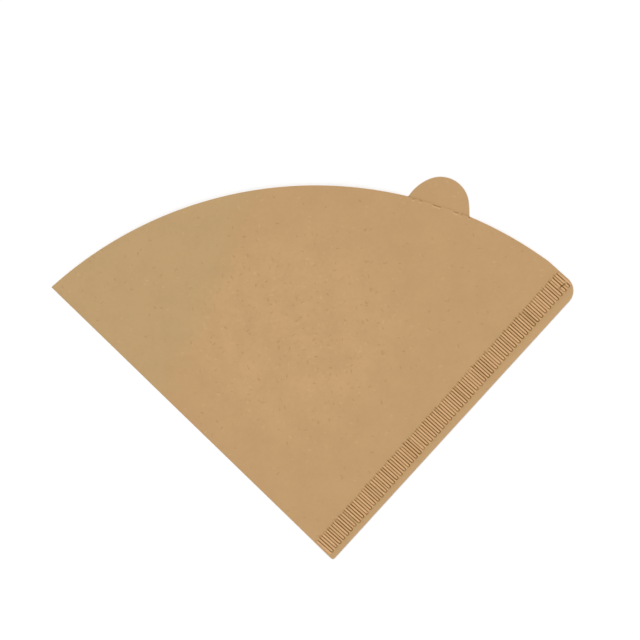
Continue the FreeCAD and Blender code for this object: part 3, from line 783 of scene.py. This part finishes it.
def make_mesh(plan, relief):
    """Makes the sheet's closed mesh, in place on the frame."""
    parts, triangles, values, shells, count = build_sheet(plan, relief)
    strips, rows = fold_strips(plan, relief, shells, count)
    quads = []
    for skin in ("outer", "inner"):
        for first, second in zip(rows[skin], rows[skin][1:]):
            quads += join_rows(first, second, flip=skin == "inner")
    for ply in ("front", "back"):
        rim = shells[ply][1]
        outer, inner = rim + shells[ply, "outer"], rim + shells[ply, "inner"]
        quads += join_rows(outer, inner, flip=ply == "front")
    for end in (0, -1):
        outer = [row[end] for row in rows["outer"]]
        inner = [row[end] for row in rows["inner"]]
        quads += join_rows(outer, inner, flip=end == -1)
    corners = np.concatenate(parts + strips)
    shift = place_shift(corners)
    mesh = bpy.data.meshes.new(PIECE_NAME)
    faces = [tuple(int(i) for i in face) for block in triangles + [quads] for face in block]
    mesh.from_pydata([Vector(corner) for corner in (corners * MM + shift)], [], faces)
    finish = np.concatenate(values + [np.zeros((len(part), len(FINISHES))) for part in strips])
    for column, name in enumerate(FINISHES):
        layer = mesh.attributes.new(name, "FLOAT", "POINT")
        layer.data.foreach_set("value", finish[:, column].astype(np.float32))
    work = bmesh.new()
    work.from_mesh(mesh)
    bmesh.ops.recalc_face_normals(work, faces=work.faces)
    for edge in work.edges:
        if not edge.is_manifold:
            raise RuntimeError("the folded sheet isn't closed")
        edge.smooth = edge.calc_face_angle(0) < SHARP
    work.to_mesh(mesh)
    work.free()
    mesh.polygons.foreach_set("use_smooth", [True] * len(mesh.polygons))
    mesh.update()
    return mesh


def place_shift(corners):
    """The move, in metres, that sets the plan on the frame's own box."""
    low, high = frame_box
    flat_low, flat_high = corners.min(axis=0) * MM, corners.max(axis=0) * MM
    return np.array([
        (low.x + high.x - flat_low[0] - flat_high[0]) / 2,
        (low.y + high.y - flat_low[1] - flat_high[1]) / 2,
        low.z,
    ])


class Nodes:
    """Makes a material's or world's shader nodes, with their values and links."""

    def __init__(self, owner):
        owner.use_nodes = True
        self.tree = owner.node_tree
        self.tree.nodes.clear()

    def add(self, kind, inputs=(), **settings):
        """Adds a node. Inputs are (socket, value or output socket) pairs."""
        node = self.tree.nodes.new(kind)
        node.location = (len(self.tree.nodes) * 180, 0)
        for name, value in settings.items():
            setattr(node, name, value)
        for socket, value in inputs:
            if isinstance(value, bpy.types.NodeSocket):
                self.tree.links.new(value, node.inputs[socket])
            else:
                node.inputs[socket].default_value = value
        return node

    def math(self, operation, *values):
        """Works out a number from one or more others."""
        node = self.add("ShaderNodeMath", list(enumerate(values)), operation=operation)
        return node.outputs[0]

    def vector(self, operation, place, other):
        """Adds to a place or scales it, or measures its distance from another."""
        second = "Scale" if operation == "SCALE" else 1
        inputs = [(0, place), (second, other)]
        node = self.add("ShaderNodeVectorMath", inputs, operation=operation)
        return node.outputs["Value" if operation == "DISTANCE" else "Vector"]

    def combine(self, first, second, third):
        """Puts three numbers together into a place or a colour."""
        inputs = [(0, first), (1, second), (2, third)]
        return self.add("ShaderNodeCombineXYZ", inputs).outputs[0]

    def attribute(self, name):
        """A value kept at each vertex."""
        return self.add("ShaderNodeAttribute", attribute_name=name).outputs["Fac"]

    def span(self, value, low, high, start=0.0, end=1.0):
        """Maps a number from one span to another, kept within it."""
        inputs = [("Value", value), ("From Min", low), ("From Max", high)]
        inputs += [("To Min", start), ("To Max", end)]
        node = self.add("ShaderNodeMapRange", inputs, interpolation_type="SMOOTHSTEP")
        return node.outputs["Result"]

    def noise(self, place, scale, detail=2.0, rough=0.5, output="Fac"):
        """Cloudy noise from 0 to 1, or as a colour with such a number for each direction."""
        inputs = [("Vector", place), ("Scale", scale), ("Detail", detail), ("Roughness", rough)]
        return self.add("ShaderNodeTexNoise", inputs).outputs[output]

    def stretch(self, place, turn, scale, offset):
        """The place turned about Z, scaled each way and moved along X."""
        turned = self.add("ShaderNodeMapping", [("Vector", place), ("Rotation", (0, 0, turn))])
        inputs = [("Vector", turned.outputs["Vector"]), ("Location", (offset, 0, 0))]
        node = self.add("ShaderNodeMapping", inputs + [("Scale", scale)])
        return node.outputs["Vector"]

    def mix(self, share_of_second, first, second, blend="MIX"):
        """Mixes two colours."""
        inputs = [(0, share_of_second), (6, first), (7, second)]
        return self.add("ShaderNodeMix", inputs, data_type="RGBA", blend_type=blend).outputs[2]

    def shown(self):
        """1 for the camera's rays and for those that gloss or glass sends on."""
        path = self.add("ShaderNodeLightPath").outputs
        seen = self.math("MAXIMUM", path["Is Camera Ray"], path["Is Glossy Ray"])
        return self.math("MAXIMUM", seen, path["Is Transmission Ray"])


def rgba(tone):
    """A colour with full cover."""
    return (*tone, 1.0)


def make_paper(look):
    """The brown kraft paper: mottled, with light fibres and bark specks, painted highlight and
    shade on the crimp, and painted shadow and highlight at the tears.
    """
    material = bpy.data.materials.new("brown_kraft_paper")
    n = Nodes(material)
    # Places are in millimetres from here on.
    place = n.vector("SCALE", n.add("ShaderNodeTexCoord").outputs["Object"], 1 / MM)
    across, up, _ = n.add("ShaderNodeSeparateXYZ", [(0, place)]).outputs
    # The back ply is another stretch of the same paper.
    step = n.math("MULTIPLY", n.attribute("front"), 190.0)
    paper_place = n.vector("ADD", place, n.combine(step, 0.0, 0.0))
    # The folded side is a little cooler in tone, up to a soft, slanting and uneven limit.
    drift = n.math("ADD", across, n.math("MULTIPLY", n.noise(place, 0.05), 24.0))
    drift = n.math("MULTIPLY_ADD", up, -0.45, drift)
    cool = n.span(drift, -39.0, -27.0, 1.0, 0.0)
    body = n.mix(cool, rgba(look.tone), rgba(look.cool_tone))
    # Cloudy unevenness, from broad clouds to tufts and single fibres.
    cloud = n.noise(paper_place, 0.11, 3.0, 0.6)
    tufts = n.noise(paper_place, 0.75, 3.0, 0.6)
    grain = n.noise(paper_place, 2.6, 3.0, 0.65)
    light = n.math("ADD", n.math("MULTIPLY", cloud, 0.45), n.math("MULTIPLY", tufts, 0.3))
    light = n.math("ADD", light, n.math("MULTIPLY", grain, 0.25))
    # The swollen middle is more uneven, and paler as a painted highlight.
    middle = n.span(n.vector("DISTANCE", place, (-6.0, 12.0, 0.0)), 14.0, 52.0, 1.0, 0.0)
    uneven = n.span(middle, 0.0, 1.0, look.mottle, 1.7 * look.mottle)
    light = n.math("MULTIPLY_ADD", n.span(light, 0.35, 0.65, -1.0, 1.0), uneven, 1.0)
    light = n.math("MULTIPLY", light, n.span(middle, 0.0, 1.0, 1.0, look.swell_highlight_gain))
    body = n.mix(1.0, body, n.combine(light, light, light), "MULTIPLY")
    # Short flecks, dark and pale, lie in several directions and thickest in the middle. A cell's
    # colour gives its fleck's chance, depth and size.
    bend = n.vector("SCALE", n.noise(paper_place, 1.1, output="Color"), 0.6)
    bent = n.vector("ADD", paper_place, bend)
    rare = n.span(middle, 0.0, 1.0, 0.90, 0.66)
    dark = pale = None
    for turn, offset in ((0.1, 0.0), (1.5, 31.0), (0.85, 57.0), (2.5, 83.0)):
        inputs = [("Vector", n.stretch(bent, turn, (0.19, 0.55, 1.0), offset)), ("Scale", 1.0)]
        cells = n.add("ShaderNodeTexVoronoi", inputs, voronoi_dimensions="2D").outputs
        chance, depth, size = n.add("ShaderNodeSeparateColor", [(0, cells["Color"])]).outputs
        near = n.span(cells["Distance"], 0.05, n.span(size, 0.0, 1.0, 0.10, 0.19), 1.0, 0.0)
        mark = n.math("MULTIPLY", near, n.math("GREATER_THAN", chance, rare))
        deep = n.math("MULTIPLY", mark, n.span(depth, 0.1, 0.75, 1.0, 0.0))
        fair = n.math("MULTIPLY", mark, n.span(depth, 0.55, 0.9))
        dark = deep if dark is None else n.math("MAXIMUM", dark, deep)
        pale = fair if pale is None else n.math("MAXIMUM", pale, fair)
    body = n.mix(n.math("MULTIPLY", dark, look.fleck), body, rgba(look.speck_tone))
    body = n.mix(n.math("MULTIPLY", pale, look.fleck), body, rgba(look.fibre_and_highlight_tone))
    # The crimp: a painted highlight makes tops and floors paler, and painted shade darkens the
    # lines on the slopes between them.
    gain = n.span(n.math("ABSOLUTE", n.attribute("crimp")), 0.6, 1.0, 1.0, look.crown_highlight_gain)
    cooler = n.math("POWER", gain, 1.25)
    body = n.mix(1.0, body, n.combine(gain, gain, cooler), "MULTIPLY")
    body = n.mix(n.attribute("lining"), body, rgba(look.painted_shade_tone))
    # Painted shadow in the tears below the tab, painted highlight below them, and the pale margin
    # beside the crimp.
    tear = n.attribute("tear")
    body = n.mix(n.math("MULTIPLY", n.span(tear, 0.0, 1.2), 0.7), body, rgba(look.painted_shade_tone))
    body = n.mix(n.span(tear, -0.1, -0.8, 0.0, 0.5), body, rgba(look.fibre_and_highlight_tone))
    # Fibres stand up a little, and dark flecks lie in.
    felt = n.math("SUBTRACT", grain, n.math("MULTIPLY", dark, 0.3))
    bump = n.add("ShaderNodeBump", [("Height", felt), ("Strength", 0.25), ("Distance", 0.00006)])
    inputs = [("Base Color", body), ("Roughness", n.span(grain, 0.3, 0.7, 0.82, 0.95))]
    inputs += [("Normal", bump.outputs["Normal"]), ("Specular IOR Level", 0.2)]
    shader = n.add("ShaderNodeBsdfPrincipled", inputs)
    n.add("ShaderNodeOutputMaterial", [("Surface", shader.outputs[0])])
    return material


def make_floor_material():
    """A pale matt floor that shows as white where the object doesn't shade it."""
    material = bpy.data.materials.new("pale_studio_floor")
    n = Nodes(material)
    grain = n.noise(n.add("ShaderNodeTexCoord").outputs["Object"], 60.0)
    shade = n.span(grain, 0.3, 0.7, 0.80, 0.82)
    matt = n.add("ShaderNodeBsdfDiffuse", [("Color", n.combine(shade, shade, shade))])
    # The glow makes up what the floor lacks to white, in the picture alone.
    strength = n.math("MULTIPLY", n.shown(), 0.24)
    glow = n.add("ShaderNodeEmission", [("Color", WHITE), ("Strength", strength)])
    both = n.add("ShaderNodeAddShader", [(0, matt.outputs[0]), (1, glow.outputs[0])])
    n.add("ShaderNodeOutputMaterial", [("Surface", both.outputs[0])])
    return material


def make_world(look):
    """Even light from all round, seen as plain white."""
    world = bpy.data.worlds.new("white_studio")
    bpy.context.scene.world = world
    n = Nodes(world)
    strength = n.span(n.shown(), 0.0, 1.0, look.sky, 1.0)
    sky = n.add("ShaderNodeBackground", [("Color", WHITE), ("Strength", strength)])
    n.add("ShaderNodeOutputWorld", [("Surface", sky.outputs[0])])


class FILTER_OT_folded_sheet(bpy.types.Operator):
    """Makes the folded, crimped sheet of brown paper"""

    bl_idname = "filter.folded_sheet"
    bl_label = "Folded Sheet"
    bl_options = {"REGISTER", "UNDO"}

    def execute(self, context):
        settings = context.scene.filter_settings
        plan = Plan(millimetres(settings.sheet), millimetres(settings.crimp))
        piece = bpy.data.objects.new(PIECE_NAME, make_mesh(plan, Relief(plan)))
        context.scene.collection.objects.link(piece)
        piece.data.materials.append(make_paper(settings.paper))
        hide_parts("filter_sheet")
        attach(piece, "root")
        return {"FINISHED"}


class FILTER_OT_stage(bpy.types.Operator):
    """Makes the white floor, the light and the camera"""

    bl_idname = "filter.stage"
    bl_label = "Stage"
    bl_options = {"REGISTER", "UNDO"}

    def execute(self, context):
        scene = context.scene
        look = scene.filter_settings.stage
        bpy.ops.mesh.primitive_plane_add(size=FLOOR_SIZE, location=(0, 0, -FLOOR_DROP))
        floor = context.object
        floor.name = "studio_floor"
        floor.data.materials.append(make_floor_material())
        make_world(look)
        lamp = bpy.data.lights.new("key_lamp", "SUN")
        lamp.energy, lamp.angle = look.key, look.key_spread
        key = bpy.data.objects.new("key_lamp", lamp)
        key.rotation_mode = "QUATERNION"
        flat = unit(look.key_bearing) * math.cos(look.key_height)
        source = Vector((*flat, math.sin(look.key_height)))
        key.rotation_quaternion = source.to_track_quat("Z", "Y")
        scene.collection.objects.link(key)
        camera = bpy.data.cameras.new("camera")
        camera.lens, camera.sensor_width = LENS, SENSOR
        camera.clip_start, camera.clip_end = NEAREST, FARTHEST
        eye = bpy.data.objects.new("camera", camera)
        eye.location = (look.view_x, look.view_y, look.view_width * LENS / SENSOR)
        eye.rotation_euler = (0, 0, look.view_turn)
        scene.collection.objects.link(eye)
        scene.camera = eye
        scene.view_settings.view_transform = "Standard"
        return {"FINISHED"}


class FilterSettings(bpy.types.PropertyGroup):
    """Everything about the filter and its stage that a user may change."""

    sheet: PointerProperty(name="Sheet", description="Sizes of the folded sheet", type=SheetSizes)
    crimp: PointerProperty(name="Crimp", description="Sizes of the crimp", type=CrimpSizes)
    paper: PointerProperty(name="Paper", description="Look of the paper", type=PaperLook)
    stage: PointerProperty(name="Stage", description="Light and camera", type=StageLook)


class FILTER_PT_panel(bpy.types.Panel):
    """Lists the filter's sizes, its look and the operators that make it"""

    bl_idname = "FILTER_PT_panel"
    bl_label = "Paper Coffee Filter"
    bl_space_type = "VIEW_3D"
    bl_region_type = "UI"
    bl_category = "Filter"

    def draw(self, context):
        settings = context.scene.filter_settings
        makers = {"sheet": FILTER_OT_folded_sheet, "stage": FILTER_OT_stage}
        for name in ("sheet", "crimp", "paper", "stage"):
            box = self.layout.box()
            box.label(text=name.capitalize())
            group = getattr(settings, name)
            for item in group.__annotations__:
                box.prop(group, item)
            if name in makers:
                box.operator(makers[name].bl_idname)


CLASSES = (
    SheetSizes, CrimpSizes, PaperLook, StageLook, FilterSettings,
    FILTER_OT_folded_sheet, FILTER_OT_stage, FILTER_PT_panel,
)


def register():
    for item in CLASSES:
        bpy.utils.register_class(item)
    bpy.types.Scene.filter_settings = PointerProperty(type=FilterSettings)


def unregister():
    del bpy.types.Scene.filter_settings
    for item in reversed(CLASSES):
        bpy.utils.unregister_class(item)


def main():
    """Makes the stage and the filter."""
    register()
    bpy.ops.filter.stage()
    bpy.ops.filter.folded_sheet()


if __name__ == "__main__":
    main()
